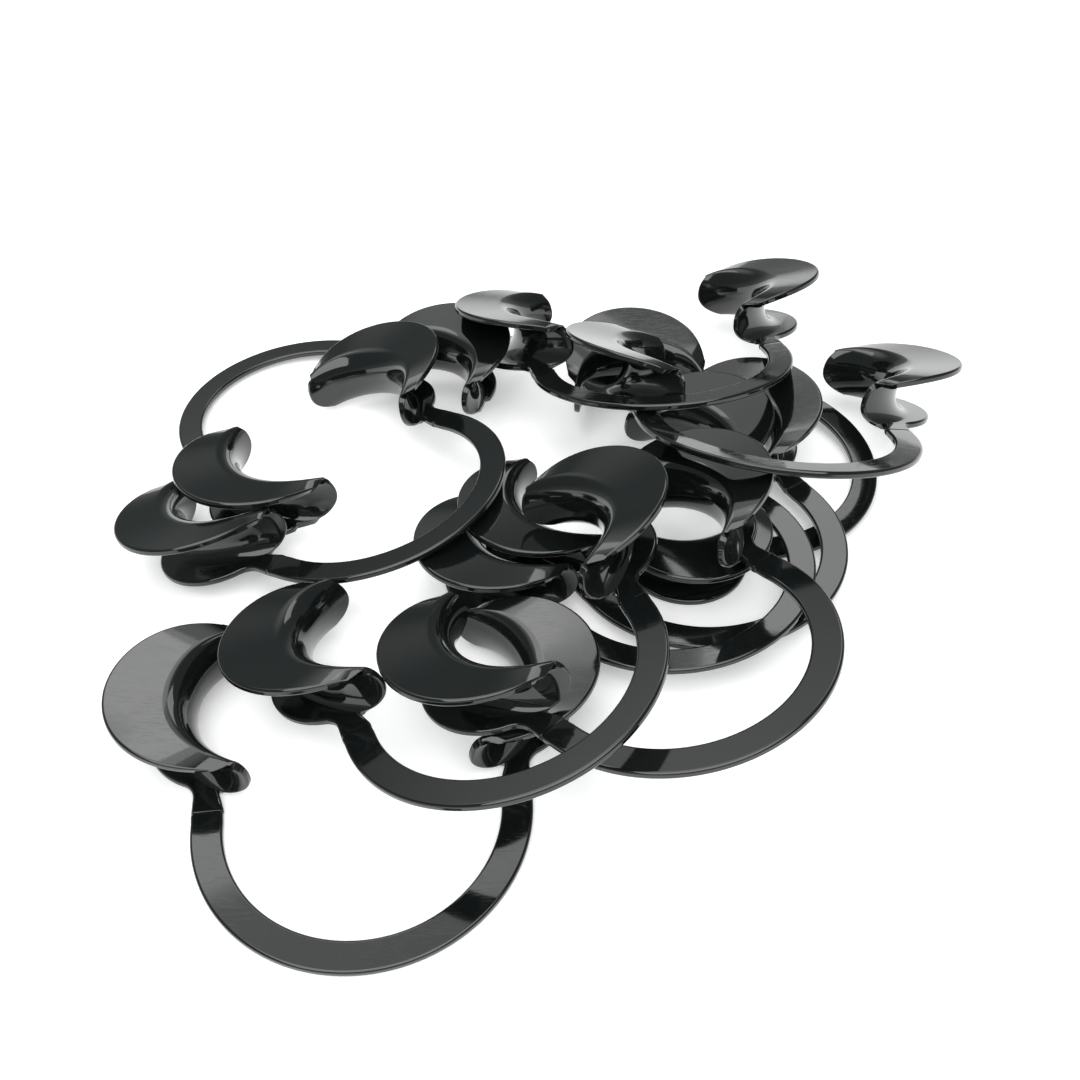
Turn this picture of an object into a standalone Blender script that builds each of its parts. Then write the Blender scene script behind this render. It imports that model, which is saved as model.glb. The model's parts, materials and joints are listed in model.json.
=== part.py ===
"""Ten C-shaped cheek retractors, heaped loosely on a flat surface.

Each retractor is one injection moulding: a flat open band, and at each end of it a
saddle that holds one corner of the mouth. A saddle is a groove that opens outwards,
made of a small crescent flange below, a rounded web, and a large crescent flange above.
The band is a spring, so each retractor is modelled as two arms that meet in a round
knuckle at the middle of the band, where the real band bends.
"""
import math

import bmesh
import bpy
from mathutils import Euler, Vector

MM = 0.001

# Band, in millimetres, in a retractor's own frame: the band's circle has its centre at
# the origin, the band lies in the XY plane, and the mouth is towards +Y.
BAND_OUTER_R = 40.0
BAND_INNER_R = 32.5
BAND_MID_R = (BAND_OUTER_R + BAND_INNER_R) / 2
WALL = 2.0
CREASE_Y = 3.1

# Knuckle at the middle of the band: a disc on the left arm in a hollow of the right arm.
KNUCKLE_R = 3.5
KNUCKLE_GAP = 0.3
SHOULDER_X = 1.0

# Saddle: every arc has its centre on the line y = MOUTH_Y, at the given x. An arc runs
# from one horn of the saddle to the other, half its angle on each side of the middle.
MOUTH_Y = 27.9
WEB_X, WEB_R, WEB_HALF = 18.7, 21.8, math.radians(70)
FOOT_X, FOOT_R, FOOT_HALF = 27.0, 20.3, math.radians(76)
BROW_X, BROW_R, BROW_HALF = 25.8, 20.5, math.radians(82)
RIM_X, RIM_R, RIM_HALF = 37.7, 22.3, math.radians(112)
LIP_X, LIP_R = 35.2, 18.0
BROW_HEIGHT = 15.0
RIM_RISE = 2.0
HORN_DROP = 2.6

# Neck between the band and the lower flange.
NECK_INNER_X = 32.7
NECK_OUTER_X = 40.2
FILLET_R = 5.0

# Steps along the arcs.
COLUMNS = 10
BEND_STEPS = 6
BAND_STEPS = 12
LIP_STEPS = 7
FILLET_STEPS = 3
KNUCKLE_STEPS = 6

# Where each retractor lies: x, y and height of the band's centre in millimetres, then
# its turn about the vertical, its pitch and its roll in degrees.
HEAP = {
    "retractor_1": (-46.26, -81.10, 1.10, 6.6, 0.0, 0.0),
    "retractor_2": (-13.62, -58.16, 23.86, 21.3, -13.1, -11.4),
    "retractor_3": (27.44, -50.00, 23.50, 40.9, -13.1, -3.9),
    "retractor_4": (-53.39, 17.11, 13.48, 54.8, -14.3, -2.2),
    "retractor_5": (-80.93, 64.97, 5.25, 228.0, 5.1, 0.3),
    "retractor_6": (32.74, 62.60, 25.10, 9.5, -18.8, -1.3),
    "retractor_7": (62.25, 24.59, 30.29, 2.8, -22.2, 5.7),
    "retractor_8": (41.96, 3.16, 5.77, 32.1, -2.9, -2.4),
    "retractor_9": (31.11, -6.07, 6.94, 37.4, -5.1, -2.7),
    "retractor_10": (58.79, 41.05, 3.60, 98.9, -0.1, -2.6),
}

BLACK = (0.012, 0.013, 0.014, 1.0)


def clear_scene():
    """Remove every object, so that the script starts from an empty scene."""
    for thing in list(bpy.data.objects):
        bpy.data.objects.remove(thing, do_unlink=True)


def arc(centre, radius, start, end, steps):
    """Points along an arc from one angle to another, both ends included."""
    points = []
    for step in range(steps + 1):
        angle = start + (end - start) * step / steps
        points.append(centre + radius * Vector((math.cos(angle), math.sin(angle))))
    return points


def saddle_rows():
    """Rows of points across a saddle, from the upper rim down to the foot of the web."""
    rows = [[] for _ in range(BEND_STEPS + 2)]
    for column in range(COLUMNS + 1):
        share = 2 * column / COLUMNS - 1
        rim, brow, web, foot = [
            Vector((x + r * math.cos(share * half), MOUTH_Y + r * math.sin(share * half)))
            for x, r, half in (
                (RIM_X, RIM_R, RIM_HALF),
                (BROW_X, BROW_R, BROW_HALF),
                (WEB_X, WEB_R, WEB_HALF),
                (FOOT_X, FOOT_R, FOOT_HALF),
            )
        ]
        height = BROW_HEIGHT - HORN_DROP * share ** 4
        rows[0].append((rim.x, rim.y, height + RIM_RISE * (1 - share ** 2)))
        for step in range(BEND_STEPS + 1):
            turn = math.pi * step / BEND_STEPS
            side = brow if step <= BEND_STEPS / 2 else foot
            spot = side.lerp(web, math.sin(turn))
            rows[step + 1].append((spot.x, spot.y, height * (1 + math.cos(turn)) / 2))
    return rows


def lip_edge(tip):
    """Rim of the lower flange, from its far tip round to the neck's outer edge."""
    centre = Vector((LIP_X, MOUTH_Y))
    fillet = Vector((NECK_OUTER_X + FILLET_R, 0.0))
    reach = LIP_R + FILLET_R
    fillet.y = MOUTH_Y - math.sqrt(reach ** 2 - (fillet.x - LIP_X) ** 2)
    touch = fillet - centre
    touch_angle = math.atan2(touch.y, touch.x)
    tip_angle = math.atan2(tip[1] - MOUTH_Y, tip[0] - LIP_X)
    rim = arc(centre, LIP_R, tip_angle, touch_angle, LIP_STEPS)
    return rim[1:] + arc(fillet, FILLET_R, touch_angle + math.pi, math.pi, FILLET_STEPS)[1:]


def band_edge(radius, end_x, steps):
    """One edge of the band, from the knuckle at x = end_x round to the neck."""
    start = math.asin(end_x / radius) - math.pi / 2
    return arc(Vector((0.0, 0.0)), radius, start, 0.0, steps)


def arm_mesh(name, mirrored):
    """Middle sheet of one arm, which the Solidify modifier makes WALL thick."""
    sheet = bmesh.new()
    knuckle = Vector((0.0, -BAND_MID_R))

    def vertex(point):
        x, y = point[0], point[1]
        height = point[2] if len(point) > 2 else 0.0
        across = -x if mirrored else x
        return sheet.verts.new(MM * Vector((across, y - knuckle.y, height)))

    rows = [[vertex(point) for point in row] for row in saddle_rows()]
    for upper, lower in zip(rows, rows[1:]):
        for a, b, c, d in zip(upper, upper[1:], lower[1:], lower):
            sheet.faces.new((a, b, c, d))

    crease = [vertex((NECK_INNER_X, CREASE_Y)), vertex((NECK_OUTER_X, CREASE_Y))]
    foot = rows[-1][:-1]
    tip = saddle_rows()[-1][COLUMNS - 1]
    lip = [vertex(point) for point in lip_edge(tip)]
    sheet.faces.new([crease[0]] + foot + lip + [crease[1]])

    if mirrored:
        end_x = [SHOULDER_X, SHOULDER_X]
        radius = KNUCKLE_R
    else:
        radius = KNUCKLE_R + KNUCKLE_GAP
        end_x = [circle_crossing(BAND_INNER_R, radius), circle_crossing(BAND_OUTER_R, radius)]
    inner = band_edge(BAND_INNER_R, end_x[0], BAND_STEPS)
    outer = band_edge(BAND_OUTER_R, end_x[1], BAND_STEPS)
    end = knuckle_end(mirrored, radius)
    loop = [vertex(point) for point in inner] + crease
    loop += [vertex(point) for point in reversed(outer)]
    loop += [vertex(point) for point in end]
    sheet.faces.new(loop)

    bmesh.ops.recalc_face_normals(sheet, faces=sheet.faces)
    mesh = bpy.data.meshes.new(name)
    sheet.to_mesh(mesh)
    sheet.free()
    return mesh


def circle_crossing(band_radius, radius):
    """x where the knuckle's hollow crosses an edge of the band."""
    y = (band_radius ** 2 + BAND_MID_R ** 2 - radius ** 2) / (2 * BAND_MID_R)
    return math.sqrt(band_radius ** 2 - y ** 2)


def knuckle_end(is_disc, radius):
    """Round end of an arm, from the band's outer edge back to its inner edge."""
    centre = Vector((0.0, -BAND_MID_R))
    if is_disc:
        lean = math.asin(SHOULDER_X / radius)
        return arc(centre, radius, -math.pi / 2 + lean, -3 * math.pi / 2 - lean, KNUCKLE_STEPS)
    lean = math.acos((BAND_OUTER_R - BAND_INNER_R) / 2 / radius)
    points = arc(centre, radius, -math.pi / 2 + lean, math.pi / 2 - lean, KNUCKLE_STEPS)
    return points[1:-1]


def black_plastic():
    """Glossy black polystyrene."""
    material = bpy.data.materials.new("glossy_black_plastic")
    material.use_nodes = True
    shader = material.node_tree.nodes["Principled BSDF"]
    shader.inputs["Base Color"].default_value = BLACK
    shader.inputs["Roughness"].default_value = 0.12
    shader.inputs["Metallic"].default_value = 0.0
    return material


def add_arm(name, mesh, parent):
    """One arm, with its origin on the knuckle's axis."""
    arm = bpy.data.objects.new(name, mesh)
    bpy.context.collection.objects.link(arm)
    arm.parent = parent
    arm.location = (0.0, -BAND_MID_R * MM, 0.0)
    wall = arm.modifiers.new("wall", "SOLIDIFY")
    wall.thickness = WALL * MM
    wall.offset = 0.0
    wall.use_even_offset = True
    return arm


def main():
    clear_scene()
    left_mesh = arm_mesh("left_arm", mirrored=True)
    right_mesh = arm_mesh("right_arm", mirrored=False)
    for mesh in (left_mesh, right_mesh):
        mesh.materials.append(black_plastic())
    for name, (x, y, z, turn, pitch, roll) in HEAP.items():
        place = bpy.data.objects.new(name + "_place", None)
        bpy.context.collection.objects.link(place)
        place.location = (x * MM, y * MM, z * MM)
        place.rotation_mode = "YXZ"
        place.rotation_euler = Euler([math.radians(a) for a in (pitch, roll, turn)], "YXZ")
        add_arm(name + "_left_arm", left_mesh, place)
        add_arm(name + "_right_arm", right_mesh, place)


main()
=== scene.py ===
"""Ten glossy black cheek retractors, heaped loosely on a pale floor.

Each is one injection moulding: an open springy band with a grooved saddle at both ends.
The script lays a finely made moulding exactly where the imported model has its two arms.
"""
import json
import math

import bmesh
import bpy
from mathutils import Matrix, Vector


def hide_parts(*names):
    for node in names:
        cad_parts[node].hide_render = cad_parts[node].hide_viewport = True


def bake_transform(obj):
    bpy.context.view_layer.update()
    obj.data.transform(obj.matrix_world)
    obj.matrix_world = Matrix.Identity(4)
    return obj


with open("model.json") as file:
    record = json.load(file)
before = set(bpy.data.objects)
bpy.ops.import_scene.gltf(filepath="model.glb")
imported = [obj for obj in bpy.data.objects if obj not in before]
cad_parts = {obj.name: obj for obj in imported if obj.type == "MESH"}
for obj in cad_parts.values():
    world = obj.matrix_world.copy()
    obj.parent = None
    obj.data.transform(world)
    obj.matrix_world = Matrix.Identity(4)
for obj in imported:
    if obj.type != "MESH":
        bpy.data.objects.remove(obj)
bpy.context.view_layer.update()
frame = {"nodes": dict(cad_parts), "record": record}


# --- The moulding's sheet: band, necks and lower flanges -----------------------------
# The band is a flat strip bent into an open ring. It widens at each end into a neck and
# then a crescent flange, all in one plane. A fine score crosses each neck, where the
# mould's two halves of the cavity meet. Lengths are metres in the moulding's own frame.
BAND_OUTER, BAND_INNER = 0.0400, 0.0325
BAND_MID = (BAND_OUTER + BAND_INNER) / 2
WALL = 0.0020
MOUTH_Y = 0.0279
SCORE_Y, SCORE_WIDTH, SCORE_MARGIN = 0.0031, 0.00022, 0.0007
SCORE_DEPTH, SCORE_NIB = 0.00005, 0.00012
NECK_INNER, NECK_OUTER = 0.0327, 0.0402
FLANGE_X, FLANGE_R, FILLET_R = 0.0352, 0.0180, 0.0050
BAND_STEPS, FLANGE_STEPS, FILLET_STEPS = 96, 36, 10


def arc(centre, radius, start, end, steps):
    """Points along an arc, both ends included."""
    angles = [start + (end - start) * step / steps for step in range(steps + 1)]
    return [centre + radius * Vector((math.cos(a), math.sin(a))) for a in angles]


def flange_rim(tip):
    """Rim of the lower flange, from its tip round to the neck's outer edge."""
    centre = Vector((FLANGE_X, MOUTH_Y))
    fillet_x = NECK_OUTER + FILLET_R
    reach = FLANGE_R + FILLET_R
    fillet = Vector((fillet_x, MOUTH_Y - math.sqrt(reach ** 2 - (fillet_x - FLANGE_X) ** 2)))
    touch = math.atan2(fillet.y - centre.y, fillet.x - centre.x)
    start = math.atan2(tip.y - centre.y, tip.x - centre.x)
    rim = arc(centre, FLANGE_R, start, touch, FLANGE_STEPS)
    curve = arc(fillet, FILLET_R, touch + math.pi, math.pi, FILLET_STEPS)
    return rim[1:] + curve[1:]


# --- The saddles ---------------------------------------------------------------------
# Each saddle is a groove that takes one corner of the lips. Its web is a half ellipse in
# section, between the lower flange and a larger crescent above that rises towards the
# middle of its rim. Every arc of it has its centre on the line across the mouth.
WEB = (0.0187, 0.0218, math.radians(71))
FOOT = (0.0270, 0.0203, math.radians(69))
BROW = (0.0258, 0.0205, math.radians(79))
RIM = (0.0377, 0.0221, math.radians(102))
BROW_HEIGHT, RIM_RISE, HORN_DROP = 0.0150, 0.0020, 0.0026
SADDLE_COLUMNS, SADDLE_BENDS = 60, 24
TIP_COLUMN = 54     # where the lower flange's tip runs into the foot of the web


def saddle_rows():
    """Rows of points across a saddle, from its upper rim down to the foot of its web."""
    rows = [[] for _ in range(SADDLE_BENDS + 2)]
    for column in range(SADDLE_COLUMNS + 1):
        share = 2 * column / SADDLE_COLUMNS - 1
        rim, brow, web, foot = [
            Vector((x + r * math.cos(share * half), MOUTH_Y + r * math.sin(share * half)))
            for x, r, half in (RIM, BROW, WEB, FOOT)
        ]
        height = BROW_HEIGHT - HORN_DROP * share ** 4
        rise = RIM_RISE * (1 - share ** 2)
        rows[0].append(Vector((rim.x, rim.y, height + rise)))
        for bend in range(SADDLE_BENDS + 1):
            turn = math.pi * bend / SADDLE_BENDS
            side = brow if bend <= SADDLE_BENDS / 2 else foot
            spot = side.lerp(web, math.sin(turn))
            drop = height * (1 + math.cos(turn)) / 2
            rows[bend + 1].append(Vector((spot.x, spot.y, drop)))
    return rows


RIM_ROUND, RIM_SEGMENTS, RIM_ANGLE = 0.0007, 4, math.radians(50)
HORN_SHARP, HORN_FADE = 0.0014, 0.0045


def ease_rims(mesh):
    """Marks the rims to be rounded. The rounding dies out at the horns' corners."""
    rows = saddle_rows()
    corners = [row[column] for row in rows[:2] + rows[-1:] for column in (0, SADDLE_COLUMNS)]
    solid = bmesh.new()
    solid.from_mesh(mesh)
    weight = solid.edges.layers.float.new("bevel_weight_edge")
    for edge in solid.edges:
        if edge.calc_face_angle(0.0) < RIM_ANGLE:
            continue
        middle = (edge.verts[0].co + edge.verts[1].co) / 2
        middle.x = abs(middle.x)
        away = min((middle - corner).length for corner in corners)
        edge[weight] = min(1.0, max(0.0, (away - HORN_SHARP) / HORN_FADE))
        edge.smooth = edge[weight] > 0.0
    solid.to_mesh(mesh)
    solid.free()


def moulding():
    """The whole moulding as a plain mesh, with its walls and rounded rims."""
    sheet = bmesh.new()

    def vertex(x, y, z=0.0):
        return sheet.verts.new((x, y, z))

    scores = {}
    for side in (-1, 1):
        rows = [[vertex(side * p.x, p.y, p.z) for p in row] for row in saddle_rows()]
        for upper, lower in zip(rows, rows[1:]):
            for corner in range(SADDLE_COLUMNS):
                sheet.faces.new((upper[corner], upper[corner + 1],
                                 lower[corner + 1], lower[corner]))
        tip = saddle_rows()[-1][TIP_COLUMN]
        rim = [vertex(side * p.x, p.y) for p in flange_rim(tip.to_2d())]
        score = []
        for step, depth in (
            (SCORE_MARGIN, 0.0),
            (SCORE_WIDTH, 0.0),
            (0.0, SCORE_DEPTH),
            (-SCORE_WIDTH, 0.0),
            (-SCORE_MARGIN, 0.0),
        ):
            nib = SCORE_NIB if depth else 0.0
            y = SCORE_Y + step
            score.append([vertex(side * (NECK_INNER - nib), y, -depth),
                          vertex(side * (NECK_OUTER + nib), y, -depth)])
        sheet.faces.new([score[0][0]] + rows[-1][:TIP_COLUMN + 1] + rim + [score[0][1]])
        for near, far in zip(score, score[1:]):
            sheet.faces.new((near[0], near[1], far[1], far[0]))
        scores[side] = score[-1]

    inner, outer = [], []
    for step in range(BAND_STEPS + 1):
        angle = -math.pi * step / BAND_STEPS
        inner.append(vertex(BAND_INNER * math.cos(angle), BAND_INNER * math.sin(angle)))
        outer.append(vertex(BAND_OUTER * math.cos(angle), BAND_OUTER * math.sin(angle)))
    for a, b, c, d in zip(inner, inner[1:], outer[1:], outer):
        sheet.faces.new((a, b, c, d))
    sheet.faces.new((scores[1][0], scores[1][1], outer[0], inner[0]))
    sheet.faces.new((scores[-1][1], scores[-1][0], inner[-1], outer[-1]))

    bmesh.ops.recalc_face_normals(sheet, faces=sheet.faces)
    for face in sheet.faces:
        face.smooth = True
    flat = bpy.data.meshes.new("retractor_sheet")
    sheet.to_mesh(flat)
    sheet.free()

    blank = bpy.data.objects.new("retractor_blank", flat)
    bpy.context.collection.objects.link(blank)
    wall = blank.modifiers.new("wall", "SOLIDIFY")
    wall.thickness = WALL
    wall.offset = 0.0
    wall.use_quality_normals = True
    bpy.context.view_layer.update()
    walled = bpy.data.meshes.new_from_object(
        blank.evaluated_get(bpy.context.evaluated_depsgraph_get()))
    blank.modifiers.clear()
    blank.data = walled
    ease_rims(walled)
    rims = blank.modifiers.new("rims", "BEVEL")
    rims.width = RIM_ROUND
    rims.segments = RIM_SEGMENTS
    rims.limit_method = "WEIGHT"
    rims.use_clamp_overlap = False
    rims.harden_normals = True
    bpy.context.view_layer.update()
    shaped = bpy.data.meshes.new_from_object(
        blank.evaluated_get(bpy.context.evaluated_depsgraph_get()))
    bpy.data.objects.remove(blank, do_unlink=True)
    return shaped


# --- The finish ----------------------------------------------------------------------
# Polystyrene out of a polished mould is black with a wet gloss. Handling leaves faint
# smears, hair scratches and a little dust, and the melt leaves soft flow shades.
POLYSTYRENE_IOR = 1.59
DEEP_BLACK, FLOW_BLACK = (0.0036, 0.0044, 0.0044, 1.0), (0.0066, 0.0082, 0.0080, 1.0)
DUST_GREY = (0.20, 0.20, 0.19, 1.0)
POLISHED, SMEARED = 0.05, 0.11
SCRATCH_DEPTH = 0.00004


def marks_group():
    """Handling marks as a node group: smears, hair scratches and dust."""
    group = bpy.data.node_groups.new("handling_marks", "ShaderNodeTree")
    face = group.interface
    face.new_socket("Place", in_out="INPUT", socket_type="NodeSocketVector")
    for name, value in (
        ("Smear Size", 26.0),
        ("Scratch Size", 240.0),
        ("Dust Size", 2600.0),
        ("Dust Amount", 0.12),
    ):
        socket = face.new_socket(name, in_out="INPUT", socket_type="NodeSocketFloat")
        socket.default_value = value
    for name in ("Smears", "Scratches", "Dust"):
        face.new_socket(name, in_out="OUTPUT", socket_type="NodeSocketFloat")
    nodes, links = group.nodes, group.links
    given = nodes.new("NodeGroupInput")
    put = nodes.new("NodeGroupOutput")

    smear = nodes.new("ShaderNodeTexNoise")
    smear.inputs["Detail"].default_value = 5.0
    smear.inputs["Roughness"].default_value = 0.62
    smear.inputs["Distortion"].default_value = 0.8
    smear_range = nodes.new("ShaderNodeMapRange")
    smear_range.inputs["From Min"].default_value = 0.42
    smear_range.inputs["From Max"].default_value = 0.72
    links.new(given.outputs["Place"], smear.inputs["Vector"])
    links.new(given.outputs["Smear Size"], smear.inputs["Scale"])
    links.new(smear.outputs["Fac"], smear_range.inputs["Value"])
    links.new(smear_range.outputs["Result"], put.inputs["Smears"])

    stretch = nodes.new("ShaderNodeMapping")
    stretch.inputs["Rotation"].default_value = (0.3, 0.2, 0.7)
    stretch.inputs["Scale"].default_value = (1.0, 22.0, 1.0)
    scratch = nodes.new("ShaderNodeTexNoise")
    scratch.inputs["Detail"].default_value = 2.0
    scratch_range = nodes.new("ShaderNodeMapRange")
    scratch_range.inputs["From Min"].default_value = 0.60
    scratch_range.inputs["From Max"].default_value = 0.70
    links.new(given.outputs["Place"], stretch.inputs["Vector"])
    links.new(stretch.outputs["Vector"], scratch.inputs["Vector"])
    links.new(given.outputs["Scratch Size"], scratch.inputs["Scale"])
    links.new(scratch.outputs["Fac"], scratch_range.inputs["Value"])
    links.new(scratch_range.outputs["Result"], put.inputs["Scratches"])

    dust = nodes.new("ShaderNodeTexNoise")
    dust.inputs["Detail"].default_value = 1.0
    dust_range = nodes.new("ShaderNodeMapRange")
    dust_range.inputs["From Min"].default_value = 0.74
    dust_range.inputs["From Max"].default_value = 0.80
    thin = nodes.new("ShaderNodeMath")
    thin.operation = "MULTIPLY"
    links.new(given.outputs["Place"], dust.inputs["Vector"])
    links.new(given.outputs["Dust Size"], dust.inputs["Scale"])
    links.new(dust.outputs["Fac"], dust_range.inputs["Value"])
    links.new(dust_range.outputs["Result"], thin.inputs[0])
    links.new(given.outputs["Dust Amount"], thin.inputs[1])
    links.new(thin.outputs["Value"], put.inputs["Dust"])
    return group


def gloss_black():
    """Black polystyrene with a polished skin."""
    material = bpy.data.materials.new("gloss_black_polystyrene")
    material.use_nodes = True
    nodes, links = material.node_tree.nodes, material.node_tree.links
    shader = nodes["Principled BSDF"]
    shader.inputs["IOR"].default_value = POLYSTYRENE_IOR

    place = nodes.new("ShaderNodeTexCoord")
    marks = nodes.new("ShaderNodeGroup")
    marks.node_tree = marks_group()
    links.new(place.outputs["Object"], marks.inputs["Place"])

    flow = nodes.new("ShaderNodeTexNoise")
    flow.inputs["Scale"].default_value = 18.0
    flow.inputs["Detail"].default_value = 3.0
    flow.inputs["Distortion"].default_value = 1.5
    shade = nodes.new("ShaderNodeMix")
    shade.data_type = "RGBA"
    shade.inputs["A"].default_value = DEEP_BLACK
    shade.inputs["B"].default_value = FLOW_BLACK
    dusty = nodes.new("ShaderNodeMix")
    dusty.data_type = "RGBA"
    dusty.inputs["B"].default_value = DUST_GREY
    links.new(place.outputs["Object"], flow.inputs["Vector"])
    links.new(flow.outputs["Fac"], shade.inputs["Factor"])
    links.new(shade.outputs["Result"], dusty.inputs["A"])
    links.new(marks.outputs["Dust"], dusty.inputs["Factor"])
    links.new(dusty.outputs["Result"], shader.inputs["Base Color"])

    gloss = nodes.new("ShaderNodeMapRange")
    gloss.inputs["To Min"].default_value = POLISHED
    gloss.inputs["To Max"].default_value = SMEARED
    links.new(marks.outputs["Smears"], gloss.inputs["Value"])
    links.new(gloss.outputs["Result"], shader.inputs["Roughness"])

    skin = nodes.new("ShaderNodeBump")
    skin.inputs["Strength"].default_value = 0.05
    skin.inputs["Distance"].default_value = SCRATCH_DEPTH
    skin.invert = True
    links.new(marks.outputs["Scratches"], skin.inputs["Height"])
    links.new(skin.outputs["Normal"], shader.inputs["Normal"])
    return material


# --- The heap ------------------------------------------------------------------------
# Ten copies of the moulding lie as they fell, each where its two CAD arms are. Each copy
# is laid whole and unbent, turned so that the middle of its band sits on the arms' hinge.
SADDLE_REACH = 0.055     # a saddle's corners are further than this from the knuckle


def laying_tree(material):
    """Node tree that lays a moulding in its place and gives it its finish."""
    tree = bpy.data.node_groups.new("lay_retractor", "GeometryNodeTree")
    face = tree.interface
    face.new_socket("Moulding", in_out="INPUT", socket_type="NodeSocketGeometry")
    sockets = {}
    for name in ("Spot", "Turn"):
        sockets[name] = face.new_socket(name, in_out="INPUT", socket_type="NodeSocketVector")
    face.new_socket("Laid", in_out="OUTPUT", socket_type="NodeSocketGeometry")
    nodes, links = tree.nodes, tree.links
    given = nodes.new("NodeGroupInput")
    put = nodes.new("NodeGroupOutput")
    turn = nodes.new("FunctionNodeEulerToRotation")
    lay = nodes.new("GeometryNodeTransform")
    real = nodes.new("GeometryNodeRealizeInstances")
    finish = nodes.new("GeometryNodeSetMaterial")
    finish.inputs["Material"].default_value = material
    links.new(given.outputs["Moulding"], lay.inputs["Geometry"])
    links.new(given.outputs["Spot"], lay.inputs["Translation"])
    links.new(given.outputs["Turn"], turn.inputs["Euler"])
    links.new(turn.outputs["Rotation"], lay.inputs["Rotation"])
    links.new(lay.outputs["Geometry"], real.inputs["Geometry"])
    links.new(real.outputs["Geometry"], finish.inputs["Geometry"])
    links.new(finish.outputs["Geometry"], put.inputs["Laid"])
    return tree, sockets["Spot"].identifier, sockets["Turn"].identifier


def saddle_middle(node, knuckle):
    """Middle of the corners of a CAD arm that lie beyond the band."""
    corners = {tuple(round(c, 6) for c in v.co) for v in frame["nodes"][node].data.vertices}
    far = [Vector(c) for c in corners if (Vector(c) - knuckle).length > SADDLE_REACH]
    return sum(far, Vector()) / len(far)


blank = moulding()
tree, spot_input, turn_input = laying_tree(gloss_black())
for joint in frame["record"]["behaviour"]["joints"]:
    if joint["type"] != "hinge":
        continue
    name = joint["name"].removesuffix("_flex")
    arms = [name + "_left_arm", name + "_right_arm"]
    knuckle = Vector(joint["pos_m"])
    up = Vector(joint["axis"]).normalized()
    across = saddle_middle(arms[1], knuckle) - saddle_middle(arms[0], knuckle)
    across = (across - across.dot(up) * up).normalized()
    ahead = up.cross(across)
    spot = knuckle + BAND_MID * ahead
    turn = Matrix((across, ahead, up)).transposed().to_euler("XYZ")

    laid = bpy.data.objects.new(name + "_lay", blank.copy())
    bpy.context.collection.objects.link(laid)
    place = laid.modifiers.new("place", "NODES")
    place.node_group = tree
    place[spot_input] = spot
    place[turn_input] = Vector(turn)
    bpy.context.view_layer.update()
    mesh = bpy.data.meshes.new_from_object(
        laid.evaluated_get(bpy.context.evaluated_depsgraph_get()))
    bpy.data.objects.remove(laid, do_unlink=True)
    mesh.name = name
    piece = bpy.data.objects.new(name, mesh)
    bpy.context.collection.objects.link(piece)
    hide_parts(*arms)
    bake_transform(piece)


# --- The floor, the light and the camera ---------------------------------------------
# The heap lies on white paper under one broad overhead softbox. Three small windows
# stand behind it, and the pale room around keeps its shadows faint and close.
PAPER_SIZE = 4.0     # half the sheet's side
PAPER_DARK, PAPER_LIGHT = (0.90, 0.90, 0.90, 1.0), (0.93, 0.93, 0.93, 1.0)


def floor_finish():
    """Matt white paper."""
    material = bpy.data.materials.new("white_paper")
    material.use_nodes = True
    nodes, links = material.node_tree.nodes, material.node_tree.links
    shader = nodes["Principled BSDF"]
    shader.inputs["Roughness"].default_value = 0.9
    shader.inputs["Specular IOR Level"].default_value = 0.1
    shader.inputs["Emission Color"].default_value = (1.0, 1.0, 1.0, 1.0)
    shader.inputs["Emission Strength"].default_value = 0.30
    place = nodes.new("ShaderNodeTexCoord")
    grain = nodes.new("ShaderNodeTexNoise")
    grain.inputs["Scale"].default_value = 900.0
    tint = nodes.new("ShaderNodeMix")
    tint.data_type = "RGBA"
    tint.inputs["A"].default_value = PAPER_DARK
    tint.inputs["B"].default_value = PAPER_LIGHT
    links.new(place.outputs["Object"], grain.inputs["Vector"])
    links.new(grain.outputs["Fac"], tint.inputs["Factor"])
    links.new(tint.outputs["Result"], shader.inputs["Base Color"])
    return material


paper = bmesh.new()
bmesh.ops.create_grid(paper, x_segments=8, y_segments=8, size=PAPER_SIZE)
paper_mesh = bpy.data.meshes.new("floor")
paper.to_mesh(paper_mesh)
paper.free()
paper_mesh.materials.append(floor_finish())
floor = bpy.data.objects.new("floor", paper_mesh)
bpy.context.collection.objects.link(floor)


def softbox(name, spot, size, power):
    """A square soft light that looks at the middle of the heap."""
    lamp = bpy.data.lights.new(name, "AREA")
    lamp.shape = "SQUARE"
    lamp.size = size
    lamp.energy = power
    box = bpy.data.objects.new(name, lamp)
    bpy.context.collection.objects.link(box)
    box.location = spot
    box.rotation_euler = (-Vector(spot)).to_track_quat("-Z", "Y").to_euler()


softbox("front_panel", (0.0, -0.70, 1.60), 2.2, 50.0)
softbox("left_window", (-0.42, 0.62, 0.92), 0.40, 1.0)
softbox("back_window", (-0.10, 0.66, 1.10), 0.34, 0.45)
softbox("right_window", (0.26, 0.92, 0.86), 0.40, 1.3)

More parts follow.
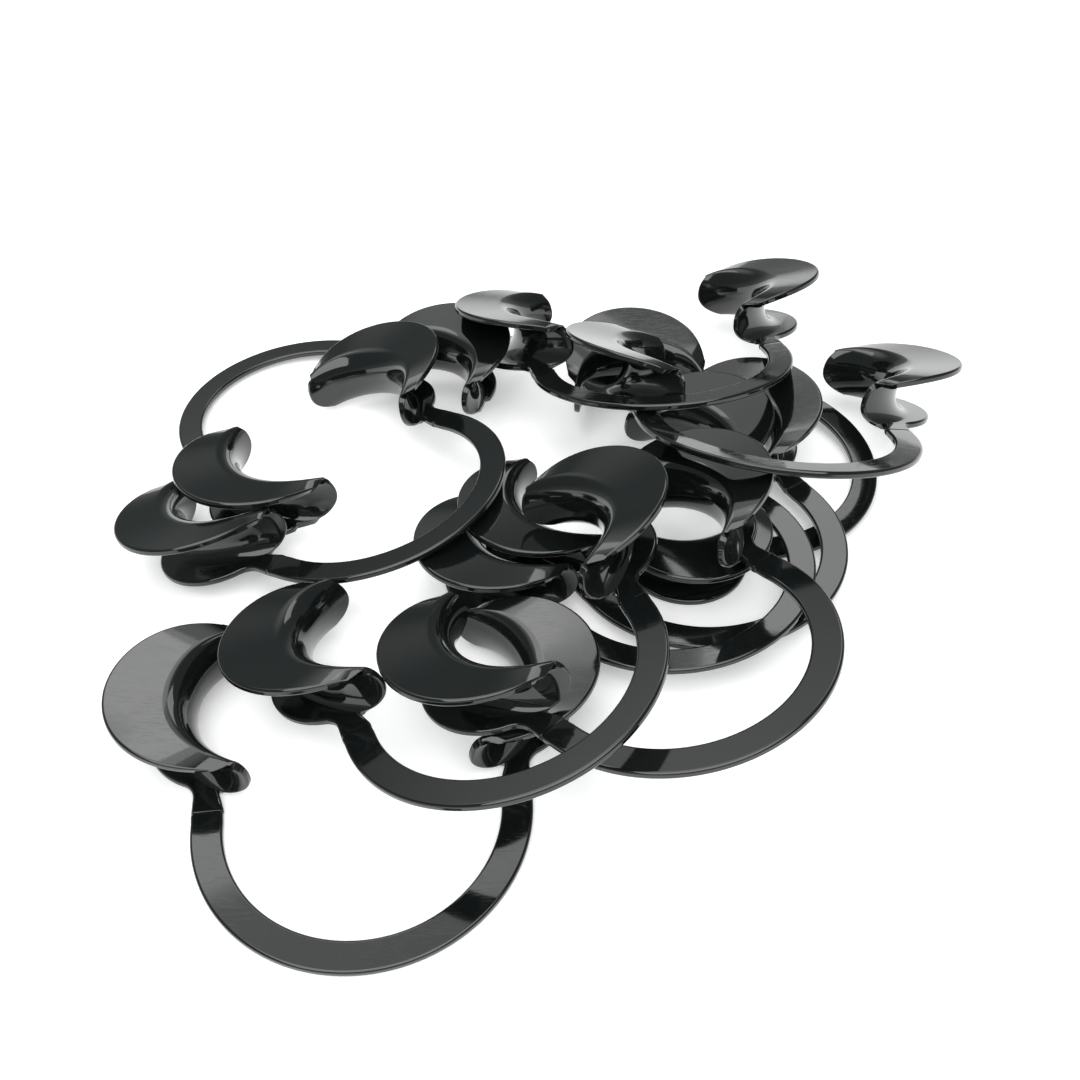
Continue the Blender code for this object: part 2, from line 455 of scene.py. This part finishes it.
WALL_LOW, WALL_HIGH = (0.42, 0.43, 0.43, 1.0), (0.19, 0.212, 0.207, 1.0)
GLOW_WAY, GLOW_STRENGTH = Vector((-0.24, 0.52, 0.80)), 1.1
world = bpy.data.worlds.new("studio_room")
world.use_nodes = True
sky = world.node_tree
way = sky.nodes.new("ShaderNodeTexCoord")
split = sky.nodes.new("ShaderNodeSeparateXYZ")
walls = sky.nodes.new("ShaderNodeValToRGB")
ramp = walls.color_ramp.elements
ramp[0].position, ramp[0].color = 0.05, WALL_LOW
ramp[1].position, ramp[1].color = 0.24, WALL_HIGH
glow = sky.nodes.new("ShaderNodeVectorMath")
glow.operation = "DOT_PRODUCT"
glow.inputs[1].default_value = GLOW_WAY.normalized()
spread = sky.nodes.new("ShaderNodeMapRange")
spread.interpolation_type = "SMOOTHSTEP"
spread.inputs["From Min"].default_value = 0.84
spread.inputs["From Max"].default_value = 0.99
spread.inputs["To Max"].default_value = GLOW_STRENGTH
both = sky.nodes.new("ShaderNodeMix")
both.data_type = "RGBA"
both.blend_type = "ADD"
both.inputs["Factor"].default_value = 1.0
sky.links.new(way.outputs["Generated"], split.inputs["Vector"])
sky.links.new(split.outputs["Z"], walls.inputs["Fac"])
sky.links.new(way.outputs["Generated"], glow.inputs[0])
sky.links.new(glow.outputs["Value"], spread.inputs["Value"])
sky.links.new(walls.outputs["Color"], both.inputs["A"])
sky.links.new(spread.outputs["Result"], both.inputs["B"])
sky.links.new(both.outputs["Result"], sky.nodes["Background"].inputs["Color"])
bpy.context.scene.world = world

AIM = Vector((-0.0047, 0.0101, 0.0))
ELEVATION, DISTANCE, FIELD = math.radians(44.94), 0.3358, math.radians(50.4)
lens = bpy.data.cameras.new("camera")
lens.sensor_width = 36.0
lens.angle = FIELD
lens.clip_start = 0.01
camera = bpy.data.objects.new("camera", lens)
bpy.context.collection.objects.link(camera)
camera.location = AIM + DISTANCE * Vector((0.0, -math.cos(ELEVATION), math.sin(ELEVATION)))
camera.rotation_euler = (AIM - camera.location).to_track_quat("-Z", "Y").to_euler()
bpy.context.scene.camera = camera
bpy.context.scene.view_settings.view_transform = "Standard"
